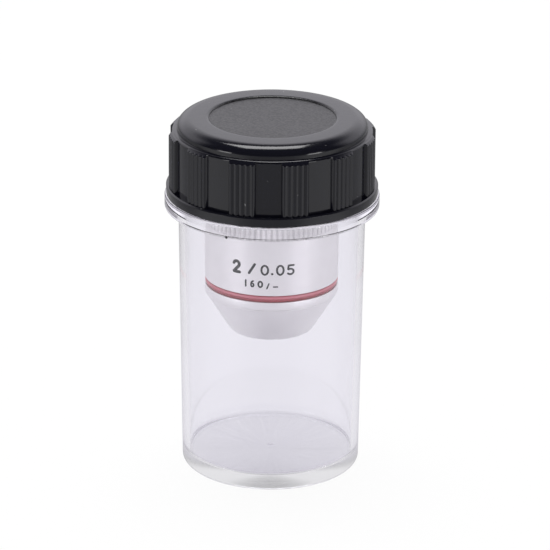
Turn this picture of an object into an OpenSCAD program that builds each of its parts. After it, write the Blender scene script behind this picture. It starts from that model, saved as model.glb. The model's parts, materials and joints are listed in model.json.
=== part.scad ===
// Low-power microscope objective, screwed into the cap of its clear storage jar.
// Millimetres. The jar stands on z = 0, every piece is turned about the z axis, and the objective hangs
// nose down from the boss inside the cap.

/* [Jar] */
// Outside diameter of the jar just under its collar
jar_top_d = 36.6; // [34:0.1:38]
// Outside diameter of the jar at its foot
jar_foot_d = 35; // [33:0.1:35.5]
// Height of the jar's body, from the foot to the underside of the collar
jar_body_h = 53.6; // [50:0.1:60]
// Thickness of the side wall and of the neck
jar_wall = 1.35; // [1:0.05:1.8]
// Thickness of the floor
jar_floor = 3; // [2:0.1:4]
// Radius of the rounded outer edge of the foot
foot_fillet = 1.3; // [0.5:0.1:2]
// Radius of the fillet between wall and floor inside
floor_fillet = 1; // [0.5:0.1:2]
// How far the collar stands out from the body
collar_reach = 2.7; // [2:0.1:4]
// Thickness of the collar
collar_t = 2.7; // [1.5:0.1:4]
// Rounding of the collar's edges
collar_edge = 0.4; // [0.2:0.05:0.6]
// Height of the neck above the collar
neck_h = 9.5; // [8:0.1:9.8]

/* [Cap] */
// Height of the cap, from the collar to the flat rim on top
cap_h = 15.5; // [14.6:0.1:17]
// Radial gap between the neck and the cap's wall, where the coarse screw thread runs
neck_gap = 0.3; // [0.2:0.05:0.5]
// Thickness of the cap's wall behind the recessed panels
cap_wall = 0.9; // [0.8:0.05:1.4]
// Height of the plain band at the bottom of the cap
band_h = 2; // [1:0.1:3]
// Bevel on the edges of the plain band
band_edge = 0.25; // [0.1:0.05:0.35]
// How far the band stands out from the panels
band_reach = 1.2; // [0.9:0.05:1.6]
// How far the grip ribs stand out from the panels
rib_reach = 0.75; // [0.4:0.05:0.85]
// Number of rib groups round the cap
rib_groups = 12; // [8:1:16]
// Number of ribs in each group
ribs_per_group = 5; // [3:1:7]
// Height of the valleys between ribs above the panels
valley_rise = 0.1; // [0.05:0.01:0.2]
// How far below the ledge on top of the grip wall the ribs end
rib_drop = 0.1; // [0.05:0.05:0.3]
// Bevel at the top of the ribs
rib_bevel = 0.55; // [0.3:0.05:0.7]
// Share of the way round that the rib groups take up, the rest being flat panels
rib_share = 0.53; // [0.4:0.01:0.7]
// Turn of the first panel away from the front, in degrees
panel_turn = -1.9; // [-15:0.1:15]
// Height of the domed top above the grip wall
dome_h = 2.8; // [1.5:0.1:3]
// Radial width of the dome's rounded shoulder
dome_round = 2.7; // [2:0.1:5]
// Share of the dome's height that its rounded shoulder takes up
dome_shoulder = 0.72; // [0.4:0.01:0.9]
// Width of the flat ledge round the dome
ledge_w = 0.55; // [0.3:0.05:0.8]
// Bevel at the top of the grip wall
grip_bevel = 0.35; // [0.2:0.05:0.6]
// Width of the flat rim between the dome's shoulder and the lip of the sunken centre
rim_w = 2.9; // [1:0.1:3.2]
// Depth of the sunken centre
recess_depth = 0.9; // [0.3:0.05:1]
// Width of the soft lip round the sunken centre
lip_w = 0.45; // [0.3:0.05:1.2]
// Thickness of the top under the sunken centre
top_t = 1.8; // [1.2:0.1:2.4]
// Width of the land inside the cap that the jar's rim closes against
seal_land = 1.7; // [1:0.1:2.5]
// Gap between the jar's rim and that land
seal_gap = 0.2; // [0.1:0.05:0.4]
// Height of the boss's lower face above the collar, where the objective's shoulder seats
seat_rise = 5.7; // [5:0.1:7]
// Thickness of the boss's wall
boss_wall = 2.25; // [1.5:0.05:2.8]
// Radial gap between the objective's thread and the boss, where the fine screw thread runs
mount_gap = 0.15; // [0.1:0.01:0.2]
// Depth of the boss's hole beyond the end of the thread
boss_spare = 0.8; // [0.3:0.1:1.2]

/* [Objective barrel] */
// Diameter of the barrel
barrel_d = 26; // [24.6:0.1:28]
// Length of the objective from its shoulder to its front face
objective_len = 33.8; // [33:0.1:36]
// Diameter over the crests of the mounting thread
thread_d = 20.2; // [20:0.02:20.4]
// Length of the mounting thread
thread_len = 4.8; // [4:0.1:5.2]
// Depth of the relief groove under the thread
relief_depth = 0.5; // [0.3:0.05:0.8]
// Height of the relief groove under the thread
relief_h = 0.8; // [0.5:0.05:1.2]
// Bevel on the shoulder and on the barrel's edges
barrel_bevel = 0.4; // [0.2:0.05:0.6]
// Height of the plain shoulder above the knurled grip
shoulder_h = 1.5; // [1:0.1:2]
// Height of the knurled grip
knurl_h = 9; // [7:0.1:10]
// Number of flutes in the knurled grip
flutes = 80; // [60:2:100]
// How far the flutes stand out from the barrel
flute_reach = 0.25; // [0.1:0.05:0.4]
// Depth of the flutes
flute_depth = 0.3; // [0.2:0.05:0.4]
// Height of the plain groove in the grip above and below the set screws
screw_margin = 0.2; // [0.1:0.05:0.5]
// Depth of that groove below the barrel's surface
screw_groove_depth = 0.35; // [0.3:0.05:0.5]
// Height of the plain band between the nose cone and the colour ring
nose_band_h = 1.6; // [1:0.1:2.5]
// Height of the colour ring
ring_h = 1.6; // [1:0.1:2.5]
// Depth of the colour ring's groove
ring_depth = 0.4; // [0.2:0.05:0.5]
// How far the enamel lies below the barrel's surface
ring_sink = 0.05; // [0.02:0.01:0.15]

/* [Nose] */
// Height of the nose cone
cone_h = 8.1; // [7.6:0.1:10]
// Radius of the flat front face
front_r = 6.9; // [6.6:0.1:8]
// Rounding between the front face and the cone
front_round = 1; // [0.5:0.1:1.5]
// Width of the flat front face round the opening
front_face_w = 1; // [0.7:0.05:1.4]
// Width of the bevel inside the opening
opening_bevel = 1; // [0.6:0.05:1.2]
// Thickness of the lip that stops the front cell
front_lip = 1.6; // [1.2:0.1:2]
// Length of the spigot that screws into the barrel
spigot_len = 4; // [3:0.1:5]
// Gap between the spigot's end and the bottom of its bore
spigot_spare = 0.3; // [0.2:0.05:0.6]
// Thickness of the spigot's wall
spigot_wall = 1.9; // [1.4:0.1:2.2]
// Thickness of the barrel's wall round the spigot
barrel_lip = 1.6; // [1.4:0.1:2]

/* [Front lens] */
// Radius of the front lens
front_lens_r = 5.4; // [4.8:0.1:5.5]
// Thickness of the front lens at its edge
front_lens_edge = 2.4; // [2.2:0.1:2.6]
// Radius of curvature of its front face, hollow
front_lens_r1 = 40; // [25:1:80]
// Radius of curvature of its rear face, hollow
front_lens_r2 = 14; // [12:0.5:25]
// Wall of the front cell
cell_wall = 1.4; // [1:0.05:1.5]
// Thickness of the lip that the front lens lies on
cell_lip = 0.7; // [0.5:0.05:1]
// How far the front cell reaches past its lens
cell_spare = 2.1; // [1.8:0.1:2.2]

/* [Lens tube] */
// Thickness of the barrel's wall round the lens tube
barrel_wall = 2.65; // [2.2:0.05:3]
// Thickness of the lens tube's wall round the rear group
tube_wall = 2.55; // [1.5:0.05:3]
// Length of the lens tube
tube_len = 12.4; // [12.2:0.1:14]
// Depth of the lens tube's upper stop below the shoulder
tube_stop = 1.4; // [1.2:0.1:2]
// Width of that stop
stop_w = 2.15; // [1.5:0.05:2.6]
// Least thickness of the barrel's wall inside the mounting thread
thread_wall = 1.4; // [1:0.05:2]
// Thickness of the shim between the lens tube and its stop
shim_t = 0.3; // [0.2:0.05:0.5]
// Thickness of the lip that the rear group lies on
tube_lip = 1.3; // [1:0.1:1.6]
// Width of that lip
tube_lip_w = 1.3; // [1:0.1:1.6]
// Edge thickness of the middle lens
middle_edge = 1.8; // [1.5:0.1:2.2]
// Radius of curvature of the middle lens's bulging rear face
middle_r = 30; // [24:1:60]
// Length of the spacer between the middle lens and the doublet
spacer_len = 3.2; // [2.8:0.1:3.6]
// Edge thickness of the doublet's front lens
flint_edge = 2.6; // [2.2:0.1:2.8]
// Edge thickness of the doublet's rear lens
crown_edge = 1.2; // [1:0.1:1.4]
// Radius of curvature of the doublet's cemented face
cement_r = 20; // [18:0.5:30]
// Radius of curvature of the doublet's rear face
crown_r = 32; // [26:1:60]
// Thickness of the aperture stop
stop_t = 0.4; // [0.3:0.05:0.6]
// Radius of the hole in the aperture stop
stop_hole_r = 4.2; // [3:0.1:5]

/* [Rings and screws] */
// Height of the slotted retaining rings
ring_t = 1.5; // [1.2:0.1:1.6]
// Radial width of the retaining rings
ring_w = 1.1; // [0.9:0.05:1.3]
// Height of the ring that locks the lens tube
lock_t = 1.8; // [1.5:0.1:2.4]
// Radial width of the ring that locks the lens tube
lock_w = 2.6; // [2:0.1:3]
// Width of the spanner slots
slot_w = 1.2; // [0.8:0.1:1.6]
// Depth of the spanner slots
slot_depth = 0.7; // [0.4:0.05:0.9]
// Thickness of the baffle behind the nose
baffle_t = 0.6; // [0.4:0.05:1]
// Width of the seat that the baffle lies on
baffle_seat_w = 1; // [0.6:0.05:1.4]
// Radius of the hole in the baffle
baffle_hole_r = 4.8; // [4:0.1:6]
// Diameter of the set screws
screw_d = 1.6; // [1.4:0.1:1.6]
// Depth of the set screws' ends below the bottom of their groove
screw_sink = 0.2; // [0.1:0.05:0.4]
// Radial gap of pieces that are screwed or slid into each other
fit_gap = 0.05; // [0.03:0.01:0.06]

/* [Hidden] */
$fn = 96;
arc_steps = 6;
lip_steps = 4;
lens_fn = 240;
over = 1;

// Jar
jar_top_r = jar_top_d / 2;
jar_foot_r = jar_foot_d / 2;
jar_taper = (jar_top_r - jar_foot_r) / jar_body_h;
function jar_r(z) = jar_foot_r + jar_taper * z;
collar_r = jar_top_r + collar_reach;
collar_top_z = jar_body_h + collar_t;
rim_z = collar_top_z + neck_h;
mouth_r = jar_top_r - jar_wall;

// Cap
cap_bore_r = jar_top_r + neck_gap;
panel_r = cap_bore_r + cap_wall;
rib_r = panel_r + rib_reach;
band_r = panel_r + band_reach;
cap_top_z = collar_top_z + cap_h;
dome_z = cap_top_z - dome_h;
band_top_z = collar_top_z + band_h;
land_z = rim_z + seal_gap;
inner_r = cap_bore_r - seal_land;
recess_z = cap_top_z - recess_depth;
ceiling_z = recess_z - top_t;
dome_r = panel_r - grip_bevel - ledge_w;
dome_shoulder_h = dome_h * dome_shoulder;
rib_top_z = dome_z - rib_drop;
rib_root = cap_wall / 2;
rib_root_r = panel_r - rib_root;
rib_pitch = 360 / rib_groups;
rib_width = rib_pitch * rib_share / ribs_per_group;
recess_r = dome_r - dome_round - rim_w - lip_w;
seat_z = collar_top_z + seat_rise;
thread_r = thread_d / 2;
boss_bore_r = thread_r + mount_gap;
boss_r = boss_bore_r + boss_wall;

// Objective, from the shoulder down to the front face
barrel_r = barrel_d / 2;
thread_top_z = seat_z + thread_len;
front_z = seat_z - objective_len;
cone_top_z = front_z + cone_h;
ring_z = cone_top_z + nose_band_h;
knurl_top_z = seat_z - shoulder_h;
knurl_z = knurl_top_z - knurl_h;
knurl_core_r = barrel_r - screw_groove_depth;
flute_tip_r = barrel_r + flute_reach;
flute_root_r = flute_tip_r - flute_depth;
screw_z = (knurl_z + knurl_top_z) / 2;

// Lens tube, stacked upwards from its lip
tube_bore_r = barrel_r - barrel_wall;
tube_r = tube_bore_r - fit_gap;
rear_bore_r = min(tube_bore_r - stop_w, thread_r - relief_depth - thread_wall);
tube_stop_z = seat_z - tube_stop;
tube_top_z = tube_stop_z - shim_t;
tube_z = tube_top_z - tube_len;
stack_z = tube_z + tube_lip;
stack_bore_r = tube_r - tube_wall;
rear_lens_r = stack_bore_r - fit_gap;
spacer_z = stack_z + middle_edge;
flint_z = spacer_z + spacer_len;
crown_z = flint_z + flint_edge;
stop_z = crown_z + crown_edge;
rear_ring_z = stop_z + stop_t;
lock_z = tube_z - lock_t;

// Nose, with the cell that the front lens lies in
spigot_bore_r = barrel_r - barrel_lip;
spigot_r = spigot_bore_r - fit_gap;
spigot_top_z = cone_top_z + spigot_len;
front_opening_r = front_r - front_face_w;
baffle_seat_r = spigot_r - spigot_wall;
baffle_z = spigot_top_z - spigot_len / 2;
cell_r = front_lens_r + fit_gap + cell_wall;
cell_z = front_z + front_lip;
front_lens_z = cell_z + cell_lip;
front_ring_z = front_lens_z + front_lens_edge;
cell_top_z = front_ring_z + cell_spare;

// Colours
clear_plastic = [0.86, 0.86, 0.9, 0.35];
black_plastic = [0.13, 0.13, 0.14];
satin_plate = [0.82, 0.82, 0.83];
red_enamel = [0.72, 0.36, 0.4];
black_anodised = [0.08, 0.08, 0.09];
bare_brass = [0.72, 0.58, 0.3];
optical_glass = [0.78, 0.86, 0.9, 0.5];

// Points of an arc about (r, z), from angle a0 to angle a1
function arc(r, z, radius, a0, a1, steps = arc_steps) = [
    for (i = [0:steps])
        let (a = a0 + (a1 - a0) * i / steps)
        [r + radius * cos(a), z + radius * sin(a)]
];

// Ball fine enough for a lens face
module ball(r) {
    sphere(r = r, $fn = lens_fn);
}

// Solid turned about the z axis from an outline of [radius, height] points
module turned(outline) {
    rotate_extrude() polygon(outline);
}

// Plain ring between two radii
module ring(r_out, r_in, z, h) {
    difference() {
        translate([0, 0, z]) cylinder(r = r_out, h = h);
        translate([0, 0, z - over]) cylinder(r = r_in, h = h + 2 * over);
    }
}

// Ring with two spanner slots across one face
module slotted_ring(r_out, r_in, z, h, slots_on_top) {
    slot_z = slots_on_top ? z + h - slot_depth : z - over;
    difference() {
        ring(r_out, r_in, z, h);
        translate([-r_out - over, -slot_w / 2, slot_z])
            cube([2 * (r_out + over), slot_w, slot_depth + over]);
    }
}

// Height of a ball's crown over a disc
function sagitta(ball_r, r) = ball_r - sqrt(ball_r * ball_r - r * r);

// Jar: a drafted tube on a thick floor, with a collar and a neck for the cap
module case_jar() {
    foot = foot_fillet;
    inner_foot_r = jar_r(jar_floor) - jar_wall;
    outline = concat(
        [[0, 0]],
        arc(jar_foot_r - foot, foot, foot, -90, 0),
        [[jar_top_r, jar_body_h]],
        arc(collar_r - collar_edge, jar_body_h + collar_edge, collar_edge, -90, 0, 3),
        arc(collar_r - collar_edge, collar_top_z - collar_edge, collar_edge, 0, 90, 3),
        [
            [jar_top_r, collar_top_z],
            [jar_top_r, rim_z - collar_edge],
            [jar_top_r - collar_edge, rim_z],
            [mouth_r, rim_z],
            [mouth_r, jar_body_h]
        ],
        arc(inner_foot_r - floor_fillet, jar_floor + floor_fillet, floor_fillet, 0, -90),
        [[0, jar_floor]]
    );
    color(clear_plastic) turned(outline);
}

// Outline of one rib, as [share of its width, share of its height]
rib_profile = [[0, 0], [0.2, 0.72], [0.5, 1], [0.8, 0.72]];
function polar(a, r) = [r * cos(a), r * sin(a)];
function group_points() =
    let (
        valley_r = panel_r + valley_rise,
        half = rib_width * ribs_per_group / 2
    )
    concat(
        [polar(-half, rib_root_r)],
        [
            for (rib = [0:ribs_per_group - 1])
                for (point = rib_profile)
                    polar((rib + point[0]) * rib_width - half, valley_r + point[1] * (rib_r - valley_r))
        ],
        [polar(half, valley_r), polar(half, rib_root_r)]
    );

// All rib groups, standing in the band below and bevelled at the top
module grip_ribs() {
    envelope = [
        [rib_root_r - over / 4, band_top_z - rib_root],
        [rib_r + over, band_top_z - rib_root],
        [rib_r + over, rib_top_z - rib_bevel - over],
        [rib_r - rib_bevel, rib_top_z],
        [rib_root_r - over / 4, rib_top_z]
    ];
    intersection() {
        for (group = [0:rib_groups - 1])
            rotate([0, 0, panel_turn - 90 + (group + 0.5) * rib_pitch])
                translate([0, 0, collar_top_z]) linear_extrude(cap_h) polygon(group_points());
        turned(envelope);
    }
}

// Cap: ribbed grip wall on a plain band, domed top with a sunken centre, threaded boss inside
module case_cap() {
    shell = concat(
        [
            [0, collar_top_z],
            [band_r - band_edge, collar_top_z],
            [band_r, collar_top_z + band_edge],
            [band_r, band_top_z - band_edge],
            [band_r - band_edge, band_top_z],
            [panel_r, band_top_z],
            [panel_r, dome_z - grip_bevel],
            [panel_r - grip_bevel, dome_z],
            [dome_r, dome_z]
        ],
        [
            for (i = [0:arc_steps])
                let (a = 90 * i / arc_steps)
                [dome_r - dome_round * (1 - cos(a)), cap_top_z - dome_shoulder_h * (1 - sin(a))]
        ],
        [
            for (i = [0:lip_steps])
                let (t = i / lip_steps)
                [recess_r + lip_w * (1 - t), recess_z + recess_depth * (1 + cos(180 * t)) / 2]
        ],
        [[0, recess_z]]
    );
    color(black_plastic)
        difference() {
            union() {
                difference() {
                    union() {
                        turned(shell);
                        grip_ribs();
                    }
                    translate([0, 0, collar_top_z - over])
                        cylinder(r = cap_bore_r, h = land_z - collar_top_z + over);
                    translate([0, 0, collar_top_z])
                        cylinder(r = inner_r, h = ceiling_z - collar_top_z);
                }
                translate([0, 0, seat_z])
                    cylinder(r = boss_r, h = ceiling_z - seat_z + top_t / 2);
            }
            translate([0, 0, seat_z - over])
                cylinder(r = boss_bore_r, h = thread_len + boss_spare + over);
        }
}

// Star outline of the straight knurl
function flute_points() = [
    for (i = [0:2 * flutes - 1])
        polar(180 * i / flutes, i % 2 == 0 ? flute_tip_r : flute_root_r)
];

// One band of the knurled grip, with its edges turned down at both ends
module knurl_band(z, h) {
    edge = flute_depth;
    intersection() {
        translate([0, 0, z]) linear_extrude(h) polygon(flute_points());
        turned([
            [0, z],
            [flute_tip_r - edge, z],
            [flute_tip_r + over, z + edge + over],
            [flute_tip_r + over, z + h - edge - over],
            [flute_tip_r - edge, z + h],
            [0, z + h]
        ]);
    }
}

// Barrel: mounting thread, shoulder, knurled grip and marked cylinder, bored through from both ends
module barrel() {
    groove_z = screw_z - screw_d / 2 - screw_margin;
    groove_top_z = screw_z + screw_d / 2 + screw_margin;
    outline = [
        [0, cone_top_z],
        [barrel_r, cone_top_z],
        [barrel_r, ring_z],
        [barrel_r - ring_depth, ring_z],
        [barrel_r - ring_depth, ring_z + ring_h],
        [barrel_r, ring_z + ring_h],
        [barrel_r, knurl_z],
        [knurl_core_r, knurl_z],
        [knurl_core_r, knurl_top_z],
        [barrel_r, knurl_top_z],
        [barrel_r, seat_z - barrel_bevel],
        [barrel_r - barrel_bevel, seat_z],
        [thread_r - relief_depth, seat_z],
        [thread_r - relief_depth, seat_z + relief_h],
        [thread_r, seat_z + relief_h],
        [thread_r, thread_top_z - barrel_bevel],
        [thread_r - barrel_bevel, thread_top_z],
        [0, thread_top_z]
    ];
    color(satin_plate)
        difference() {
            union() {
                turned(outline);
                knurl_band(knurl_z, groove_z - knurl_z);
                knurl_band(groove_top_z, knurl_top_z - groove_top_z);
            }
            translate([0, 0, cone_top_z - over])
                cylinder(r = spigot_bore_r, h = spigot_len + spigot_spare + over);
            translate([0, 0, cone_top_z])
                cylinder(r = tube_bore_r, h = tube_stop_z - cone_top_z);
            translate([0, 0, cone_top_z])
                cylinder(r = rear_bore_r, h = thread_top_z - cone_top_z + over);
            for (i = [0:2]) screw_place(i) cylinder(d = screw_d + 2 * fit_gap, h = barrel_r);
        }
}

// Enamel in the groove round the barrel
module colour_ring() {
    color(red_enamel)
        ring(barrel_r - ring_sink, barrel_r - ring_depth + ring_sink / 2, ring_z, ring_h);
}

// Nose: cone with a rounded front edge, screwed into the barrel by its spigot
module nose_cone() {
    cone_angle = atan2(barrel_r - front_r - front_round / 2, cone_h);
    edge_z = front_z + front_round;
    outline = concat(
        [[front_opening_r, front_z]],
        arc(front_r, edge_z, front_round, -90, -cone_angle),
        [
            [barrel_r, cone_top_z],
            [spigot_r, cone_top_z],
            [spigot_r, spigot_top_z - barrel_bevel],
            [spigot_r - barrel_bevel, spigot_top_z],
            [baffle_seat_r, spigot_top_z],
            [baffle_seat_r, baffle_z],
            [baffle_seat_r - baffle_seat_w, baffle_z],
            [cell_r + fit_gap, cell_top_z],
            [cell_r + fit_gap, cell_z],
            [front_opening_r - opening_bevel, cell_z]
        ]
    );
    color(satin_plate) turned(outline);
}

// Cell that carries the front lens
module front_cell() {
    lens_bore_r = front_lens_r + fit_gap;
    outline = [
        [lens_bore_r - cell_lip, cell_z],
        [cell_r, cell_z],
        [cell_r, cell_top_z],
        [lens_bore_r, cell_top_z],
        [lens_bore_r, front_lens_z],
        [lens_bore_r - cell_lip, front_lens_z]
    ];
    color(black_anodised) turned(outline);
}

// Front lens, hollow on both faces
module front_lens() {
    color(optical_glass)
        difference() {
            translate([0, 0, front_lens_z]) cylinder(r = front_lens_r, h = front_lens_edge);
            translate([0, 0, front_lens_z + sagitta(front_lens_r1, front_lens_r - cell_lip) - front_lens_r1])
                ball(front_lens_r1);
            translate([0, 0, front_ring_z - sagitta(front_lens_r2, front_lens_r - ring_w) + front_lens_r2])
                ball(front_lens_r2);
        }
}

module front_retaining_ring() {
    color(black_anodised)
        slotted_ring(front_lens_r, front_lens_r - ring_w, front_ring_z, ring_t, true);
}

module field_baffle() {
    color(black_anodised) ring(baffle_seat_r - fit_gap, baffle_hole_r, baffle_z, baffle_t);
}

// Tube for the rear group, with a lip at its lower end
module lens_tube() {
    color(black_anodised)
        difference() {
            translate([0, 0, tube_z]) cylinder(r = tube_r, h = tube_len);
            translate([0, 0, stack_z]) cylinder(r = stack_bore_r, h = tube_len);
            translate([0, 0, tube_z - over]) cylinder(r = stack_bore_r - tube_lip_w, h = tube_len);
        }
}

// Single positive lens: flat in front, bulging behind into the spacer
module middle_lens() {
    color(optical_glass)
        intersection() {
            translate([0, 0, stack_z]) cylinder(r = rear_lens_r, h = 2 * middle_edge);
            translate([0, 0, spacer_z + sagitta(middle_r, rear_lens_r - ring_w) - middle_r]) ball(middle_r);
        }
}

module lens_spacer() {
    color(black_anodised) ring(rear_lens_r, rear_lens_r - ring_w, spacer_z + fit_gap, spacer_len - fit_gap);
}

// Hollow front half of the cemented doublet
module doublet_flint() {
    color(optical_glass)
        difference() {
            translate([0, 0, flint_z]) cylinder(r = rear_lens_r, h = flint_edge);
            translate([0, 0, crown_z - sagitta(cement_r, rear_lens_r) + cement_r]) ball(cement_r);
        }
}

// Bulging rear half of the cemented doublet
module doublet_crown() {
    color(optical_glass)
        intersection() {
            translate([0, 0, flint_z]) cylinder(r = rear_lens_r, h = 3 * flint_edge);
            translate([0, 0, crown_z + fit_gap - sagitta(cement_r, rear_lens_r) + cement_r]) ball(cement_r);
            translate([0, 0, stop_z + sagitta(crown_r, stop_hole_r) - crown_r]) ball(crown_r);
        }
}

module aperture_stop() {
    color(black_anodised)
        ring(rear_lens_r, stop_hole_r, stop_z + fit_gap, stop_t - fit_gap);
}

module rear_retaining_ring() {
    color(black_anodised)
        slotted_ring(rear_lens_r, rear_lens_r - ring_w, rear_ring_z, ring_t, true);
}

module tube_lock_ring() {
    color(black_anodised) slotted_ring(tube_r, tube_r - lock_w, lock_z, lock_t, false);
}

module parfocal_shim() {
    color(bare_brass) ring(tube_r, rear_bore_r + fit_gap, tube_top_z, shim_t);
}

// Puts a radial screw's axis on its place in the grip's groove
module screw_place(i) {
    rotate([0, 0, 120 * i + 90]) translate([0, 0, screw_z]) rotate([0, 90, 0]) children();
}

// Set screw with a slotted end, from the lens tube out to the groove
module grub_screw(i) {
    screw_end_r = knurl_core_r - screw_sink;
    color(black_anodised)
        screw_place(i)
            difference() {
                translate([0, 0, tube_bore_r]) cylinder(d = screw_d, h = screw_end_r - tube_bore_r);
                translate([-screw_d, -screw_d / 8, screw_end_r - screw_d / 3])
                    cube([2 * screw_d, screw_d / 4, screw_d]);
            }
}

module grub_screw_a() {
    grub_screw(0);
}

module grub_screw_b() {
    grub_screw(1);
}

module grub_screw_c() {
    grub_screw(2);
}

case_jar();
case_cap();
barrel();
colour_ring();
nose_cone();
front_cell();
front_lens();
front_retaining_ring();
field_baffle();
lens_tube();
middle_lens();
lens_spacer();
doublet_flint();
doublet_crown();
aperture_stop();
rear_retaining_ring();
tube_lock_ring();
parfocal_shim();
grub_screw_a();
grub_screw_b();
grub_screw_c();
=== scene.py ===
import json
import math
import bpy
import numpy as np
from mathutils import Matrix, Vector


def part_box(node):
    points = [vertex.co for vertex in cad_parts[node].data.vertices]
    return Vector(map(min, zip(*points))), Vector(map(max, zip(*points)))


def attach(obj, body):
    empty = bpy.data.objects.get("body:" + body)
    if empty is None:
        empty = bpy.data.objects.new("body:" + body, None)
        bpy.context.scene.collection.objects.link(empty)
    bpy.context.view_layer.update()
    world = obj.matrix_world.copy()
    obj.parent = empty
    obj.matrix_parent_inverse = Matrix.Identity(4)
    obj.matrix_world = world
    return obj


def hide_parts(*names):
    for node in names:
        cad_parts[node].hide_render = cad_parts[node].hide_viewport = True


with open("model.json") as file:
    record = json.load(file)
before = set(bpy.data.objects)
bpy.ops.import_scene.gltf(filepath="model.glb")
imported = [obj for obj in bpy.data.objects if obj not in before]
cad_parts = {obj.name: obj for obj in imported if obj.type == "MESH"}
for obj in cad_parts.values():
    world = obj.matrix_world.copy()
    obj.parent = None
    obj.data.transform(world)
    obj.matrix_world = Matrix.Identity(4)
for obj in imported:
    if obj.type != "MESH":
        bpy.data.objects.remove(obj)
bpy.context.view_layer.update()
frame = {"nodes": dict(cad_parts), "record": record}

# Lengths are in millimetres until a mesh is written. The jar stands on z = 0, its front faces -Y.
# In the names below, R is a radius, Z a height above the foot, H a height and T a thickness.
MM = 0.001
TAU = 2 * math.pi


def span(node):
    """Outer radius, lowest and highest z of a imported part, in millimetres."""
    low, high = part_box(node)
    return high[0] / MM, low[2] / MM, high[2] / MM


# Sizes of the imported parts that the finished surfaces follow
COLLAR_R, _, RIM_Z = span("case_jar")
BAND_R, COLLAR_TOP_Z, CAP_TOP_Z = span("case_cap")
FLUTE_TIP_R, SOLID_BARREL_Z, THREAD_TOP_Z = span("barrel")
RING_R, SOLID_RING_Z, SOLID_RING_TOP_Z = span("colour_ring")
_, SOLID_FRONT_Z, SPIGOT_TOP_Z = span("nose_cone")

# Edges that the photograph shows a little higher than the solids have them
BARREL_Z = SOLID_BARREL_Z + 0.3
FRONT_Z = SOLID_FRONT_Z + 0.2
RING_Z, RING_TOP_Z = SOLID_RING_Z + 0.4, SOLID_RING_TOP_Z + 0.2

# Jar
JAR_TOP_R = 18.3
JAR_FOOT_R = 17.5
JAR_WALL = 1.35
JAR_FLOOR = 3.0
JAR_COLUMNS = 400
FOOT_FILLET = 1.3
FLOOR_FILLET = 1.0
THROAT_FILLET = 6
COLLAR_T = 2.7
COLLAR_Z = COLLAR_TOP_Z - COLLAR_T
NECK_ROOT_R = 18.0
GATE_R, GATE_H = 0.8, 0.08

# Threads. A form is its land and its flank as shares of the pitch, and a run-out is the height
# over which the thread grows to its full depth.
COARSE_PITCH = 3.0
COARSE_FORM = (0.12, 0.16)
COARSE_RUN_OUT = 0.7
NECK_THREAD = 0.5
CAP_THREAD = 0.32
FINE_PITCH = 0.706
FINE_FORM = (0.12, 0.36)
FINE_RUN_OUT = 0.2
FINE_DEPTH = 0.38
THREAD_R = 10.1
SEAT_Z = THREAD_TOP_Z - 4.8

# Cap
AIR_GAP = 0.04
CAP_BORE_R = 18.9
CAP_INNER_R = 16.9
LAND_Z = RIM_Z + 0.2
BOSS_R = THREAD_R + 2.4
BOSS_BORE_R = THREAD_R + 0.15
BOSS_BORE_TOP_Z = THREAD_TOP_Z + 0.8
BOSS_FORM = (0.1, 0.35)
BOSS_THREAD = 0.1
TOP_T = 1.8
CREST_R = 13.1
RECESS_R = 12.35
RECESS_DEPTH = 0.35
PANEL_R = BAND_R - 1.2
DOME_R = PANEL_R - 0.9
DOME_H = 2.55
DOME_ROUND = 2.7
SHOULDER_H = 2.0
GRIP_BEVEL = 0.35
BAND_H = 2.0
BAND_BEVEL = 0.25
RIB_GROUPS = 12
RIBS_PER_GROUP = 5
RIB_SHARE = 0.53
PANEL_TURN_DEG = -1.9
RIB_REACH = 0.75
RIB_BEVEL = 0.55
RIB_DROP = 0.1
RIB_BLEND = 0.12
GROOVE_DEPTH = 0.2

# Objective
FLUTES = 80
FLUTE_COLUMNS = 6
FLUTE_RISE = 0.25
FLUTE_DEPTH = 0.3
BARREL_R = FLUTE_TIP_R - FLUTE_RISE
RELIEF_R = THREAD_R - 0.5
RELIEF_Z = SEAT_Z + 0.8
SPIGOT_BORE_R = BARREL_R - 1.6
TUBE_BORE_R = BARREL_R - 2.65
REAR_BORE_R = BARREL_R - 4.8
REAR_SHELF_Z = SEAT_Z - 1.4
SPIGOT_SHELF_Z = BARREL_Z + 4.3
EDGE_BEVEL = 0.4
RING_GROOVE = 0.4
RING_T = 0.3
RING_RISE = 0.3
KNURL_TOP_Z = SEAT_Z - 1.5
KNURL_LOW_Z = SEAT_Z - 10.5
KNURL_BLEND = 0.05
GRIP_GROOVE_Z = (KNURL_TOP_Z + KNURL_LOW_Z) / 2
GRIP_GROOVE_HALF = 1.0
GRIP_GROOVE = 0.35
SPIGOT_R = BARREL_R - 1.65
NOSE_BORE_R = SPIGOT_R - 1.9
NOSE_SHELF_R = SPIGOT_R - 2.9
NOSE_SHELF_Z = SPIGOT_TOP_Z - 2
CELL_R = 6.9
CELL_Z, CELL_TOP_Z = FRONT_Z + 1.6, FRONT_Z + 6.8
FRONT_R, FRONT_ROUND = 8.0, 1.6
MOUTH_BEVEL_R, MOUTH_R = 5.9, 4.9

# Signs: how far they stand off the barrel, how deep the ribbons are and how far apart their points
SIGN_LIFT, SIGN_DEPTH, SIGN_STEP = 0.012, 0.04, 0.06


def smoothstep(t):
    """0 below t = 0, 1 above t = 1, and 3t^2 - 2t^3 in between."""
    t = np.clip(t, 0, 1)
    return t * t * (3 - 2 * t)


def soft_min(a, b, k):
    """The smaller of a and b, blended over a width k where they meet."""
    h = np.clip(0.5 + (b - a) / (2 * k), 0, 1)
    return b + (a - b) * h - k * h * (1 - h)


def near(radius, surface_r):
    """True for the points whose radius is that of a surface, to 0.02 mm."""
    return np.abs(radius - surface_r) < 0.02


def unit(v):
    """Vector of length 1 in the direction of v."""
    return v / np.linalg.norm(v)


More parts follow.
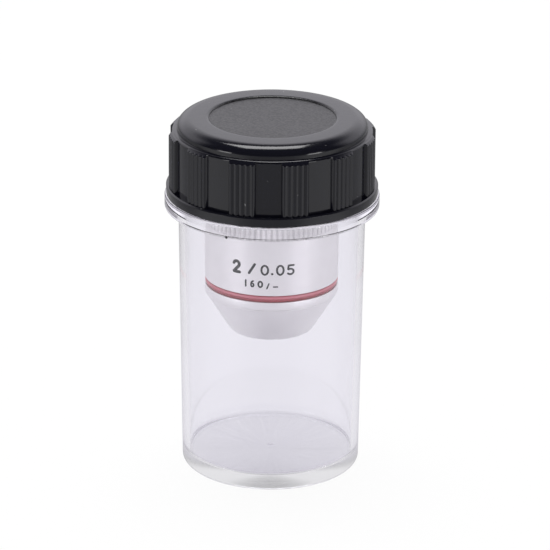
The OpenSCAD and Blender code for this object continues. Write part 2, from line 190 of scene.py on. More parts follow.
def rounded(corners, steps):
    """Outline through corners (r, z, fillet). Each corner with a fillet becomes an arc of that
    radius, tangent to both sides, with its centre on the corner's bisector."""
    out = []
    last = len(corners) - 1
    for i, (r, z, fillet) in enumerate(corners):
        here = np.array([r, z], float)
        if fillet <= 0 or i in (0, last):
            out.append(here)
            continue
        back = unit(np.array(corners[i - 1][:2], float) - here)
        ahead = unit(np.array(corners[i + 1][:2], float) - here)
        half = math.acos(np.clip(back @ ahead, -1, 1)) / 2
        reach = fillet / math.tan(half)
        centre = here + unit(back + ahead) * fillet / math.sin(half)
        start, end = here + back * reach - centre, here + ahead * reach - centre
        turn = math.atan2(start[0] * end[1] - start[1] * end[0], start @ end)
        for t in np.linspace(0, turn, steps):
            c, s = math.cos(t), math.sin(t)
            arm = np.array([c * start[0] - s * start[1], s * start[0] + c * start[1]])
            out.append(centre + arm)
    return np.array(out)


def refined(outline, step, z_low, z_high, r_low=0):
    """The outline with extra points, at most step apart, on the stretches between the two heights
    and outside r_low."""
    out = [outline[0]]
    for a, b in zip(outline[:-1], outline[1:]):
        in_height = min(a[1], b[1]) < z_high and max(a[1], b[1]) > z_low
        inside = in_height and min(a[0], b[0]) > r_low
        count = max(1, math.ceil(np.linalg.norm(b - a) / step)) if inside else 1
        out.extend(a + (b - a) * k / count for k in range(1, count + 1))
    return np.array(out)


def around(count):
    """Equal directions round the axis."""
    return np.linspace(0, TAU, count, endpoint=False)


def strips(low, high):
    """Quads between rows of point numbers, closed round the row."""
    corners = [low, np.roll(low, -1, 1), np.roll(high, -1, 1), high]
    return np.stack(corners, axis=2).reshape(-1, 4)


def fan(pole, row):
    """Triangles from a pole to a closed row of point numbers."""
    return [[pole, int(p), int(q)] for p, q in zip(row, np.roll(row, -1))]


def turned(name, radius, height, angles, ring=False):
    """Mesh turned about z. Point (i, j) lies at radius[i, j] and height[i, j] in the direction
    angles[j]. The columns close round. The rows close on themselves where ring is true, and else
    end in two poles on the axis."""
    rows, cols = radius.shape
    xyz = np.stack([radius * np.cos(angles), radius * np.sin(angles), height + 0 * radius], axis=2)
    xyz = xyz * MM
    index = np.arange(rows * cols).reshape(rows, cols)
    if ring:
        return solid(name, xyz.reshape(-1, 3), strips(index, np.roll(index, -1, axis=0)).tolist())
    index = index[:-2]
    verts = np.vstack([xyz[1:-1].reshape(-1, 3), xyz[0].mean(0), xyz[-1].mean(0)])
    first_pole, last_pole = len(verts) - 2, len(verts) - 1
    faces = strips(index[:-1], index[1:]).tolist()
    faces += [[pole, q, p] for pole, p, q in fan(first_pole, index[0])]
    faces += fan(last_pole, index[-1])
    return solid(name, verts, faces)


def solid(name, verts, faces, sharp_deg=40):
    """Object from vertices in metres and faces. Where the volume that the faces enclose comes out
    negative, all of them are turned over."""
    mesh = bpy.data.meshes.new(name)
    mesh.from_pydata(np.asarray(verts).tolist(), [], faces)
    mesh.update()
    mesh.calc_loop_triangles()
    tri = np.empty(len(mesh.loop_triangles) * 3, np.int32)
    mesh.loop_triangles.foreach_get("vertices", tri)
    p = np.asarray(verts)[tri.reshape(-1, 3)]
    if np.einsum("ij,ij->i", p[:, 0], np.cross(p[:, 1], p[:, 2])).sum() < 0:
        mesh.flip_normals()
    mesh.shade_smooth()
    mesh.set_sharp_from_angle(angle=math.radians(sharp_deg))
    return placed(bpy.data.objects.new(name, mesh))


def placed(thing):
    """Put an object into the scene, and give it back."""
    bpy.context.scene.collection.objects.link(thing)
    return thing


def thread(angles, z, pitch, start_z, form, shift=0.0):
    """Right-hand thread from 0 to 1: 1 on a land and 0 between, with smooth flanks. Its phase is
    (z - start) / pitch - angle / tau + shift, in turns, and the land lies at half a turn."""
    land, flank = form
    phase = np.mod(np.mod((z - start_z) / pitch - angles / TAU, 1) + shift, 1)
    return smoothstep((land / 2 + flank - np.abs(phase - 0.5)) / flank)


def coarse_thread(angles, z, low, high, shift=0.0):
    """Thread of jar and cap, which runs out at the heights low and high."""
    run = smoothstep((z - low) / COARSE_RUN_OUT) * smoothstep((high - z) / COARSE_RUN_OUT)
    return run * thread(angles, z, COARSE_PITCH, COLLAR_TOP_Z, COARSE_FORM, shift)


def make_jar():
    """Jar: an outline turned about z, with r = neck root + thread depth x thread on the neck."""
    inner_foot_r = JAR_FOOT_R + (JAR_TOP_R - JAR_FOOT_R) * JAR_FLOOR / COLLAR_Z - JAR_WALL
    mouth_r = JAR_TOP_R - JAR_WALL
    gate_z = JAR_FLOOR + GATE_H
    outline = rounded([
        (0, 0, 0),
        (JAR_FOOT_R, 0, FOOT_FILLET),
        (JAR_TOP_R, COLLAR_Z, 0.35),
        (COLLAR_R, COLLAR_Z, 0.5),
        (COLLAR_R, COLLAR_TOP_Z, 0.4),
        (NECK_ROOT_R, COLLAR_TOP_Z, 0.25),
        (NECK_ROOT_R, RIM_Z, 0.4),
        (mouth_r, RIM_Z, 0.4),
        (mouth_r, COLLAR_Z, THROAT_FILLET),
        (inner_foot_r, JAR_FLOOR, FLOOR_FILLET),
        (GATE_R, JAR_FLOOR, 0.1),
        (GATE_R * 0.5, gate_z, 0.3),
        (0, gate_z, 0),
    ], steps=13)
    outline = refined(outline, 0.22, z_low=COLLAR_TOP_Z, z_high=RIM_Z)
    r, z = outline[:, :1], outline[:, 1:]
    angles = around(JAR_COLUMNS)
    # The neck's outer side, above its fillet
    on_neck = (r > mouth_r + 0.6) & (z > COLLAR_TOP_Z + 0.3)
    ridges = NECK_THREAD * coarse_thread(angles, z, COLLAR_TOP_Z + 1.6, RIM_Z - 1.2)
    return turned("jar_shell", r + np.where(on_neck, ridges, 0), z, angles)


def group_angles(rib_samples, panel_samples):
    """Directions round the cap, close together over each rib group and wide apart over the flat
    panels, and the place within the group in ribs, or a negative number on a panel."""
    angles, place = [], []
    pitch = TAU / RIB_GROUPS
    on_ribs = np.linspace(0, 1, rib_samples * RIBS_PER_GROUP + 1)
    on_panel = np.linspace(0, 1, panel_samples + 2)[1:-1]
    for g in range(RIB_GROUPS):
        start = math.radians(PANEL_TURN_DEG - 90) + g * pitch + pitch * (1 - RIB_SHARE) / 2
        angles.extend(start + on_ribs * pitch * RIB_SHARE)
        place.extend(on_ribs * RIBS_PER_GROUP)
        angles.extend(start + pitch * (RIB_SHARE + on_panel * (1 - RIB_SHARE)))
        place.extend(-1 - on_panel)
    return np.array(angles), np.array(place)


def dome_rows():
    """Top of the cap. The lip of the sunken centre has r = recess + (crest - recess) x t^1.8 and
    z = floor + depth x (1 - (1 - t)^2.2), and the shoulder is a quarter of an ellipse."""
    recess_z = CAP_TOP_Z - RECESS_DEPTH
    t = np.linspace(0, 1, 14)
    lip_r = RECESS_R + (CREST_R - RECESS_R) * t ** 1.8
    lip_z = recess_z + RECESS_DEPTH * (1 - (1 - t) ** 2.2)
    turn = np.linspace(math.pi / 2, 0, 18)
    shoulder_r = DOME_R - DOME_ROUND * (1 - np.cos(turn))
    shoulder_z = CAP_TOP_Z - SHOULDER_H * (1 - np.sin(turn))
    return np.vstack([
        [[0, recess_z], [RECESS_R - 0.5, recess_z], [RECESS_R - 0.1, recess_z]],
        np.stack([lip_r, lip_z], axis=1),
        [[CREST_R + 0.15, CAP_TOP_Z], [CREST_R + 0.5, CAP_TOP_Z]],
        np.stack([shoulder_r, shoulder_z], axis=1),
    ])


def make_cap():
    """Cap: an outline turned about z. On the grip wall, with w = |sin(pi x place)|, each group of
    ribs rises at its two ends as r = panel + reach x w^0.6 and has between its ribs
    r = panel + reach - groove x (1 - w^0.8). A 45 degree cone cuts the ribs above. The bores carry
    threads, r = bore - depth x thread."""
    angles, place = group_angles(rib_samples=7, panel_samples=4)
    ledge_z = CAP_TOP_Z - DOME_H
    band_top = COLLAR_TOP_Z + BAND_H
    foot_z = COLLAR_TOP_Z + AIR_GAP
    ceiling_z = CAP_TOP_Z - RECESS_DEPTH - TOP_T
    rib_top = ledge_z - RIB_DROP

    dome = dome_rows()
    wall = rounded([
        (DOME_R, CAP_TOP_Z - SHOULDER_H - 0.01, 0), (DOME_R, ledge_z, 0.08),
        (PANEL_R - GRIP_BEVEL, ledge_z, 0.1), (PANEL_R, ledge_z - GRIP_BEVEL, 0.12),
        (PANEL_R, band_top, 0),
    ], steps=4)
    ledge = wall[wall[:, 1] > rib_top + 0.01]
    joint_r = np.interp(-rib_top, -wall[:, 1][-4:], wall[:, 0][-4:])
    # Rows close together over the ribs' bevelled tops, and wide apart below
    heights = np.concatenate([
        rib_top - np.linspace(0, 1.4, 12), np.linspace(rib_top - 2.2, band_top, 5)])
    grip_r = np.minimum(PANEL_R, PANEL_R - GRIP_BEVEL + ledge_z - heights)
    grip = np.stack([grip_r, heights], axis=1)
    lower = rounded([
        (PANEL_R, band_top, 0), (BAND_R - BAND_BEVEL, band_top, 0.05),
        (BAND_R, band_top - BAND_BEVEL, 0.1), (BAND_R, foot_z, 0.22),
        (CAP_BORE_R, foot_z, 0.1), (CAP_BORE_R, LAND_Z, 0.1),
        (CAP_INNER_R, LAND_Z, 0.3), (CAP_INNER_R, ceiling_z, 0.8),
        (BOSS_R, ceiling_z, 0.5), (BOSS_R, SEAT_Z, 0.3), (BOSS_BORE_R, SEAT_Z, 0.3),
        (BOSS_BORE_R, BOSS_BORE_TOP_Z, 0.2), (0, BOSS_BORE_TOP_Z, 0),
    ], steps=4)
    lower = refined(lower[1:], 0.25, z_low=SEAT_Z, z_high=LAND_Z)
    outline = np.vstack([dome, ledge, [[joint_r, rib_top + 0.005]], grip, lower])

    r, z = outline[:, :1], outline[:, 1:]
    rows = np.arange(len(outline))[:, None]
    first = len(dome) + len(ledge) + 1
    on_grip = (rows >= first) & (rows < first + len(grip))
    inside = rows >= first + len(grip)

    wave = np.abs(np.sin(math.pi * place))
    to_end = np.minimum(place, RIBS_PER_GROUP - place)
    rib = PANEL_R + np.where(
        to_end < 0.5, RIB_REACH * wave ** 0.6, RIB_REACH - GROOVE_DEPTH * (1 - wave ** 0.8))
    cone = PANEL_R + RIB_REACH - RIB_BEVEL + rib_top - z
    raised = np.maximum(soft_min(rib + 0 * z, cone + 0 * rib, RIB_BLEND), r)
    radius = np.where(on_grip & (place >= 0), raised, r)

    coarse = coarse_thread(angles, z, COLLAR_TOP_Z + 1.2, RIM_Z - 1.0, shift=0.5)
    radius = radius - np.where(inside & near(r, CAP_BORE_R), CAP_THREAD * coarse, 0)
    fine = thread(angles, z, FINE_PITCH, SEAT_Z, BOSS_FORM, shift=0.5)
    radius = radius - np.where(inside & near(r, BOSS_BORE_R), BOSS_THREAD * fine, 0)
    return turned("cap_shell", radius, z, angles)


def make_barrel():
    """Barrel: a closed outline turned about z. The grip has a straight knurl,
    r = barrel + rise - depth x smoothstep(triangle wave), and the part above the shoulder the fine
    mounting thread, r = crest - depth x (1 - thread)."""
    groove_r = BARREL_R - GRIP_GROOVE
    groove_low, groove_top = GRIP_GROOVE_Z - GRIP_GROOVE_HALF, GRIP_GROOVE_Z + GRIP_GROOVE_HALF
    outline = rounded([
        (SPIGOT_BORE_R, BARREL_Z, 0), (BARREL_R, BARREL_Z, 0.12), (BARREL_R, RING_Z, 0.06),
        (BARREL_R - RING_GROOVE, RING_Z, 0.05), (BARREL_R - RING_GROOVE, RING_TOP_Z, 0.05),
        (BARREL_R, RING_TOP_Z, 0.06), (BARREL_R, KNURL_LOW_Z, 0),
        (BARREL_R, groove_low, 0.05), (groove_r, groove_low, 0.1),
        (groove_r, groove_top, 0.1), (BARREL_R, groove_top, 0.05),
        (BARREL_R, KNURL_TOP_Z, 0), (BARREL_R, SEAT_Z - EDGE_BEVEL, 0.1),
        (BARREL_R - EDGE_BEVEL, SEAT_Z, 0.1), (RELIEF_R, SEAT_Z, 0.1),
        (RELIEF_R, RELIEF_Z, 0.05), (THREAD_R, RELIEF_Z + 0.05, 0.05),
        (THREAD_R, THREAD_TOP_Z - EDGE_BEVEL, 0.1), (THREAD_R - EDGE_BEVEL, THREAD_TOP_Z, 0.1),
        (REAR_BORE_R, THREAD_TOP_Z, 0.2), (REAR_BORE_R, REAR_SHELF_Z, 0.1),
        (TUBE_BORE_R, REAR_SHELF_Z, 0.1), (TUBE_BORE_R, SPIGOT_SHELF_Z, 0.1),
        (SPIGOT_BORE_R, SPIGOT_SHELF_Z, 0.1), (SPIGOT_BORE_R, BARREL_Z + 0.1, 0),
    ], steps=4)
    outline = refined(outline, 0.12, RELIEF_Z, THREAD_TOP_Z, THREAD_R - 0.1)
    outline = refined(outline, 0.3, KNURL_LOW_Z - 0.4, KNURL_TOP_Z + 0.4, BARREL_R - 0.1)
    angles = around(FLUTES * FLUTE_COLUMNS)
    r, z = outline[:, :1], outline[:, 1:]

    wave = np.abs(np.mod(FLUTES * angles / TAU, 1) * 2 - 1)
    flute = FLUTE_RISE - FLUTE_DEPTH * smoothstep(wave * 1.15 - 0.05)
    to_groove = np.abs(z - GRIP_GROOVE_Z) - GRIP_GROOVE_HALF
    to_edge = np.minimum(np.minimum(z - KNURL_LOW_Z, KNURL_TOP_Z - z), to_groove)
    on_grip = (to_edge >= -0.01) & near(r, BARREL_R)
    fade = to_edge + 0 * flute - KNURL_BLEND
    knurl = np.where(on_grip, soft_min(flute + 0 * z, fade, KNURL_BLEND), 0)

    on_thread = near(r, THREAD_R) & (z > RELIEF_Z + 0.04)
    run = smoothstep((z - RELIEF_Z - 0.05) / FINE_RUN_OUT)
    cut = FINE_DEPTH * (1 - thread(angles, z, FINE_PITCH, SEAT_Z, FINE_FORM)) * run
    return turned("barrel_shell", r + knurl - np.where(on_thread, cut, 0), z, angles, ring=True)


def plain_ring(name, outline, columns):
    """A closed outline turned about z, with r and z the same all round."""
    angles = around(columns)
    return turned(name, outline[:, :1] + 0 * angles, outline[:, 1:], angles, ring=True)


def make_nose():
    """Nose: a cone with a rounded front edge and a bevelled opening, hollow behind, with a spigot,
    as an outline of straight sides and arcs turned about z."""
    corners = [
        (MOUTH_BEVEL_R, FRONT_Z + 0.01, 0), (FRONT_R, FRONT_Z, FRONT_ROUND),
        (BARREL_R, BARREL_Z, 0.12), (SPIGOT_R, BARREL_Z, 0.05), (SPIGOT_R, SPIGOT_TOP_Z, 0.3),
        (NOSE_BORE_R, SPIGOT_TOP_Z, 0.1), (NOSE_BORE_R, NOSE_SHELF_Z, 0),
        (NOSE_SHELF_R, NOSE_SHELF_Z, 0), (CELL_R, CELL_TOP_Z, 0), (CELL_R, CELL_Z, 0),
        (MOUTH_R, CELL_Z, 0.1),
    ]
    return plain_ring("nose_shell", rounded(corners + corners[:1], steps=6)[:-1], columns=192)


def make_enamel():
    """Colour ring: a groove's fill with a bulging face, r = ring - rise x |2t - 1|^2.5 from t = 0
    at its lower edge to t = 1 at its upper edge."""
    t = np.linspace(0, 1, 14)
    face_r = RING_R - RING_RISE * np.abs(2 * t - 1) ** 2.5
    face = np.stack([face_r, RING_Z + (RING_TOP_Z - RING_Z) * t], axis=1)
    root_r = RING_R - RING_T
    outline = np.vstack([[[root_r, RING_Z]], face, [[root_r, RING_TOP_Z]]])
    return plain_ring("enamel_band", outline, columns=256)


def curve(cx, cy, rx, ry, a0, a1, steps=14):
    """Points (cx + rx cos a, cy + ry sin a) of an ellipse arc, with a from a0 to a1 degrees."""
    a = np.radians(np.linspace(a0, a1, steps))
    return np.stack([cx + rx * np.cos(a), cy + ry * np.sin(a)], axis=1)


# Strokes of the engraved signs, in a box 1 high
SIGNS = {
    "0": [curve(0.31, 0.5, 0.29, 0.48, 90, 450, 28)],
    "1": [np.array([[0.1, 1.0], [0.1, 0.0]])],
    "2": [np.vstack([curve(0.3, 0.72, 0.27, 0.26, 165, -35), [[0.03, 0.03], [0.6, 0.03]]])],
    "5": [np.vstack([
        [[0.54, 0.97], [0.12, 0.97], [0.08, 0.56]],
        curve(0.27, 0.31, 0.27, 0.29, 125, -140, 16)])],
    "6": [np.vstack([
        curve(0.62, 0.42, 0.56, 0.58, 105, 180, 8),
        curve(0.31, 0.29, 0.26, 0.27, 180, 520, 20)])],
    "/": [np.array([[0.46, 1.02], [0.04, -0.04]])],
    ".": [np.array([[-0.02, 0.04], [0.02, 0.04]])],
    "-": [np.array([[0.04, 0.42], [0.36, 0.42]])],
}


def ribbon(line, half):
    """Points of a stroke, in rows (left, right, right, left): the line with round ends, whose half
    width is half x sqrt(1 - (1 - way to the end)^2)."""
    seg = np.linalg.norm(np.diff(line, axis=0), axis=1)
    s = np.concatenate([[0], np.cumsum(seg)])
    n = max(3, int((s[-1] + 2 * half) / SIGN_STEP))
    t = np.linspace(-half, s[-1] + half, n)
    inner = np.clip(t, 0, s[-1])
    p = np.stack([np.interp(inner, s, line[:, 0]), np.interp(inner, s, line[:, 1])], axis=1)
    k = np.clip(np.searchsorted(s, inner, side="right") - 1, 0, len(seg) - 1)
    along = np.diff(line, axis=0)[k] / seg[k][:, None]
    along[1:-1] = along[:-2] + along[1:-1] + along[2:]
    along /= np.linalg.norm(along, axis=1)[:, None]
    p = p + along * (t - inner)[:, None]
    across = np.stack([-along[:, 1], along[:, 0]], axis=1)
    to_end = np.minimum(t + half, s[-1] + half - t) / half
    w = half * np.sqrt(np.clip(1 - (1 - np.minimum(to_end, 1)) ** 2, 0.02, 1))
    left, right = p + across * w[:, None], p - across * w[:, None]
    return np.stack([left, right, right, left], axis=1)


def make_signs(name, signs, low_z, height, stroke):
    """Engraved signs laid round the barrel, as flat ribbons bent to its radius: a point x along the
    barrel lies in the direction x / r from the front. Each sign has its left edge, measured along
    the barrel, and its width as a share of the plain one."""
    verts, faces = [], []
    face_r = BARREL_R + SIGN_LIFT
    radius = np.array([face_r, face_r, face_r - SIGN_DEPTH, face_r - SIGN_DEPTH])
    side = np.arange(4)
    for sign, left_mm, width_scale in signs:
        for points in SIGNS[sign]:
            rim = ribbon(points * [height * width_scale, height] + [left_mm, low_z], stroke / 2)
            a = rim[:, :, 0] / BARREL_R - math.pi / 2
            xyz = np.stack([radius * np.cos(a), radius * np.sin(a), rim[:, :, 1]], axis=2) * MM
            rows = len(verts) + 4 * np.arange(len(rim))[:, None] + side
            verts.extend(xyz.reshape(-1, 3).tolist())
            faces += strips(rows[:-1], rows[1:]).tolist()
            faces += [rows[0][[0, 3, 2, 1]].tolist(), rows[-1].tolist()]
    return solid(name, verts, faces, sharp_deg=30)


def make_crumb(name, place, size):
    """Crumb of grime: a closed ball about place, r = size x (1 + 0.25 sin 3a cos 2b cos b), with a
    round and b up."""
    rows, cols = 9, 16
    a = around(cols)
    b = np.linspace(-math.pi / 2, math.pi / 2, rows + 2)[1:-1, None]
    r = size * (1 + 0.25 * np.sin(3 * a) * np.cos(2 * b) * np.cos(b))
    ball = np.stack([r * np.cos(b) * np.cos(a), r * np.cos(b) * np.sin(a), r * np.sin(b)], axis=2)
    verts = np.vstack([ball.reshape(-1, 3), [[0, 0, -size], [0, 0, size]]]) + place
    low_pole, high_pole = len(verts) - 2, len(verts) - 1
    index = np.arange(rows * cols).reshape(rows, cols)
    faces = strips(index[:-1], index[1:]).tolist()
    faces += [[pole, q, p] for pole, p, q in fan(low_pole, index[0])]
    faces += fan(high_pole, index[-1])
    return solid(name, verts * MM, faces, sharp_deg=60)


class Value:
    """A shader socket that can be used in arithmetic. Each operator adds the Math node for it."""

    def __init__(self, shader, socket):
        self.shader = shader
        self.socket = socket

    def math(self, operation, other, swap=False, clamp=False):
        """Result of a Math node that takes this value first, or second where swap is true."""
        first, second = (other, self) if swap else (self, other)
        settings = {"operation": operation, "use_clamp": clamp}
        return self.shader.node("ShaderNodeMath", settings, {0: first, 1: second})

    def __add__(self, other):
        return self.math("ADD", other)

    def __sub__(self, other):
        return self.math("SUBTRACT", other)

    def __rsub__(self, other):
        return self.math("SUBTRACT", other, swap=True)

    def __mul__(self, other):
        return self.math("MULTIPLY", other)

    def __truediv__(self, other):
        return self.math("DIVIDE", other)

    def __pow__(self, other):
        return self.math("POWER", other)

    def step(self, low, high):
        """0 below low, 1 above high, smooth in between."""
        return self.shader.node(
            "ShaderNodeMapRange", {"interpolation_type": "SMOOTHSTEP"},
            {"Value": self, "From Min": low, "From Max": high})


class Shader:
    """The node tree of a material or of the world, with one method that adds any node."""

    def __init__(self, owner):
        owner.use_nodes = True
        self.owner = owner
        self.tree = owner.node_tree
        self.tree.nodes.clear()

    def node(self, kind, settings=None, values=None, out=0):
        """Add a node with its settings and its inputs, and give one of its outputs. Colours are
        written as (red, green, blue)."""
        node = self.tree.nodes.new(kind)
        for key, value in (settings or {}).items():
            setattr(node, key, value)
        for key, value in (values or {}).items():
            if isinstance(value, Value):
                self.tree.links.new(value.socket, node.inputs[key])
            elif node.inputs[key].type == "RGBA":
                node.inputs[key].default_value = (*value, 1)
            else:
                node.inputs[key].default_value = value
        return Value(self, node.outputs[out] if len(node.outputs) else None)

    def place(self, scale=(1, 1, 1)):
        """Object coordinates in millimetres, stretched by scale."""
        coords = self.node("ShaderNodeTexCoord", out="Object")
        return self.node("ShaderNodeVectorMath", {"operation": "MULTIPLY"},
                         {0: coords, 1: tuple(s / MM for s in scale)})

    def parts(self, vector):
        """The x, y and z of a vector."""
        outputs = self.node("ShaderNodeSeparateXYZ", values={0: vector}).socket.node.outputs
        return [Value(self, output) for output in outputs]

    def axes(self):
        """y, z and the distance from the axis, in millimetres."""
        x, y, z = self.parts(self.place())
        return y, z, (x * x + y * y) ** 0.5

    def noise(self, size, detail, scale=(1, 1, 1)):
        """Noise with features of about size millimetres, stretched by scale."""
        return self.node("ShaderNodeTexNoise", values={
            "Vector": self.place(scale), "Scale": 1 / size, "Detail": detail})

    def rays(self, kind):
        """An output of the Light Path node."""
        return self.node("ShaderNodeLightPath", out=kind)

    def blend(self, share, a, b):
        """Colour a where share is 0, b where it is 1."""
        return self.node(
            "ShaderNodeMix", {"data_type": "RGBA"}, {"Factor": share, 6: a, 7: b}, out=2)

    def bump(self, height, depth_mm, strength=1.0, under=None):
        """Normal bent by a height, on top of the normal under it if there is one."""
        values = {"Height": height, "Distance": depth_mm * MM, "Strength": strength}
        if under:
            values["Normal"] = under
        return self.node("ShaderNodeBump", values=values)

    def principled(self, **values):
        """Principled surface, with the inputs' names written with underscores."""
        inputs = {name.replace("_", " "): value for name, value in values.items()}
        return self.node("ShaderNodeBsdfPrincipled", values=inputs)

    def mixed(self, share, a, b):
        """Surface a where share is 0, b where it is 1."""
        return self.node("ShaderNodeMixShader", values={0: share, 1: a, 2: b})

    def finish(self, surface, output="ShaderNodeOutputMaterial"):
        """Join the surface to the tree's output, and give the material or the world."""
        self.node(output, values={"Surface": surface})
        return self.owner


def new_shader(name):
    """Shader of a new material."""
    return Shader(bpy.data.materials.new(name))


def clear_plastic():
    """Clear polystyrene: slight violet tint, deeper in the thick foot, faint flow waves, soft
    scuffs. Shadow rays pass straight through, and so does light that has been mirrored twice on
    its way round inside the wall."""
    s = new_shader("clear_plastic")
    waves = s.noise(9, 2, (1, 1, 0.35))
    scuff = s.noise(1.4, 4, (1, 1, 3)).step(0.56, 0.75)
    _, z, _ = s.axes()
    foot = 1 - z.step(JAR_FLOOR + 1.0, JAR_FLOOR + 2.4)
    body = s.principled(
        Base_Color=s.blend(foot, (0.908, 0.899, 0.939), (0.88, 0.87, 0.915)),
        Roughness=scuff * 0.05 + 0.01, IOR=1.5, Normal=s.bump(waves, 0.02),
        Transmission_Weight=1,
    )
    clear = s.node("ShaderNodeBsdfTransparent", values={0: (0.98, 0.973, 0.992)})
    trapped = s.rays("Glossy Depth").math("GREATER_THAN", 1.5)
    return s.finish(s.mixed(s.rays("Is Shadow Ray").math("MAXIMUM", trapped), body, clear))


def black_plastic():
    """Black moulded plastic: glossy with a faint mould texture, fine matte grain in the sunken
    centre of the top, a few specks of dust."""
    s = new_shader("black_plastic")
    _, z, r = s.axes()
    on_top = z.step(CAP_TOP_Z - 1.5, CAP_TOP_Z - 1.2)
    centre = (1 - r.step(RECESS_R - 0.1, RECESS_R + 0.35)) * on_top
    grain = s.noise(0.4, 2)
    skin = s.noise(1.6, 3)
    patch = s.noise(7, 2)
    dust = s.noise(0.6, 0).step(0.875, 0.89)
    matte = s.blend(grain.step(0.35, 0.65), (0.004, 0.004, 0.006), (0.04, 0.039, 0.043))
    moulded = s.blend(centre, (0.004, 0.004, 0.008), matte)
    fine = s.bump(grain, 0.045, centre * 0.8 + 0.02)
    return s.finish(s.principled(
        Base_Color=s.blend(dust, moulded, (0.16, 0.16, 0.165)),
        Roughness=centre * 0.25 + patch * 0.04 + 0.12, IOR=1.5,
        Normal=s.bump(skin, 0.012, 1.0, fine),
    ))


def satin_plate():
    """Satin plate on turned metal: fine rings round the axis, cloudy gloss, darker in patches down
    between the knurls."""
    s = new_shader("satin_plate")
    lines = s.noise(0.12, 2, (0.02, 0.02, 1))
    cloud = s.noise(3.5, 3)
    _, z, r = s.axes()
    above_low = z.step(KNURL_LOW_Z - 0.1, KNURL_LOW_Z + 0.2)
    below_top = 1 - z.step(KNURL_TOP_Z - 0.1, KNURL_TOP_Z + 0.1)
    between = 1 - r.step(BARREL_R - 0.1, BARREL_R + 0.15)
    patches = s.noise(1.3, 2, (1, 1, 0.3)).step(0.1, 0.7)
    # darker in patches down in the knurl's grooves
    groove_darkening = above_low * below_top * between * patches
    plate = s.blend(cloud.step(0.3, 0.7), (0.87, 0.855, 0.86), (0.9, 0.885, 0.89))
    return s.finish(s.principled(
        Base_Color=s.blend(groove_darkening, plate, (0.58, 0.57, 0.58)), Metallic=1.0,
        Roughness=cloud * 0.05 + lines * 0.05 + 0.34, Normal=s.bump(lines, 0.03),
    ))


def red_enamel():
    """Muted red enamel, slightly uneven, with a painted highlight: a lighter band over the upper
    part of its bulge, while its edges keep the enamel's own colour."""
    s = new_shader("red_enamel")
    cloud = s.noise(1.2, 3)
    _, z, _ = s.axes()
    up = (z - RING_Z) / (RING_TOP_Z - RING_Z)
    # painted highlight: a lighter red band over the upper part of the bulge
    painted_highlight_band = up.step(0.4, 0.62) * (1 - up.step(0.72, 0.9))
    # the enamel's own uneven colour, which its edges keep
    base_enamel = s.blend(cloud.step(0.3, 0.7), (0.37, 0.065, 0.085), (0.44, 0.095, 0.115))
    return s.finish(s.principled(
        Base_Color=s.blend(painted_highlight_band, base_enamel, (0.72, 0.23, 0.28)),
        Roughness=cloud * 0.1 + 0.3, IOR=1.5, Normal=s.bump(cloud, 0.01),
    ))


def sign_paint():
    """Dark paint in the engraving, worn down in places. The crumb has it too."""
    s = new_shader("sign_paint")
    worn = s.noise(0.35, 3).step(0.5, 0.75)
    return s.finish(s.principled(
        Base_Color=s.blend(worn, (0.03, 0.03, 0.034), (0.11, 0.11, 0.115)),
        Roughness=worn * 0.2 + 0.5,
    ))


def black_anodised():
    """Black anodised metal with fine turning rings."""
    s = new_shader("black_anodised")
    lines = s.noise(0.1, 2, (0.02, 0.02, 1))
    cloud = s.noise(1.5, 3)
    return s.finish(s.principled(
        Base_Color=s.blend(cloud, (0.014, 0.014, 0.016), (0.03, 0.03, 0.033)), Metallic=0.2,
        Roughness=cloud * 0.15 + 0.42, Normal=s.bump(lines, 0.006),
    ))


def optical_glass():
    """Coated lens glass with a faint blue-green bloom."""
    s = new_shader("optical_glass")
    cloud = s.noise(4, 2)
    body = s.principled(
        Base_Color=s.blend(cloud, (0.9, 0.96, 0.97), (0.94, 0.97, 0.96)),
        Roughness=cloud * 0.02, IOR=1.55, Transmission_Weight=1,
    )
    clear = s.node("ShaderNodeBsdfTransparent", values={0: (0.9, 0.93, 0.93)})
    return s.finish(s.mixed(s.rays("Is Shadow Ray"), body, clear))


def bare_brass():
    """Plain rolled brass."""
    s = new_shader("bare_brass")
    cloud = s.noise(1.2, 3)
    return s.finish(s.principled(
        Base_Color=s.blend(cloud, (0.62, 0.42, 0.17), (0.72, 0.53, 0.26)), Metallic=1.0,
        Roughness=cloud * 0.15 + 0.28, Normal=s.bump(cloud, 0.005),
    ))


def black_steel():
    """Blackened steel screws."""
    s = new_shader("black_steel")
    cloud = s.noise(0.4, 3)
    return s.finish(s.principled(
        Base_Color=s.blend(cloud, (0.02, 0.02, 0.022), (0.06, 0.058, 0.056)), Metallic=0.8,
        Roughness=cloud * 0.2 + 0.3,
    ))


def dress(piece, material, body, replaces=()):
    """Give a piece its one material, hang it on the body it rides on, and hide the imported parts
    that it stands for.
    """
    piece.data.materials.clear()
    piece.data.materials.append(material)
    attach(piece, body)
    if replaces:
        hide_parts(*replaces)


finishes = {
    "clear_plastic": clear_plastic(), "black_plastic": black_plastic(),
    "satin_plate": satin_plate(), "red_enamel": red_enamel(),
    "black_anodised": black_anodised(), "optical_glass": optical_glass(),
    "bare_brass": bare_brass(), "black_steel": black_steel(),
}
paint = sign_paint()

dress(make_jar(), finishes["clear_plastic"], "jar", ["case_jar"])
dress(make_cap(), finishes["black_plastic"], "cap", ["case_cap"])
dress(make_barrel(), finishes["satin_plate"], "objective", ["barrel"])
dress(make_nose(), finishes["satin_plate"], "objective", ["nose_cone"])
dress(make_enamel(), finishes["red_enamel"], "objective", ["colour_ring"])

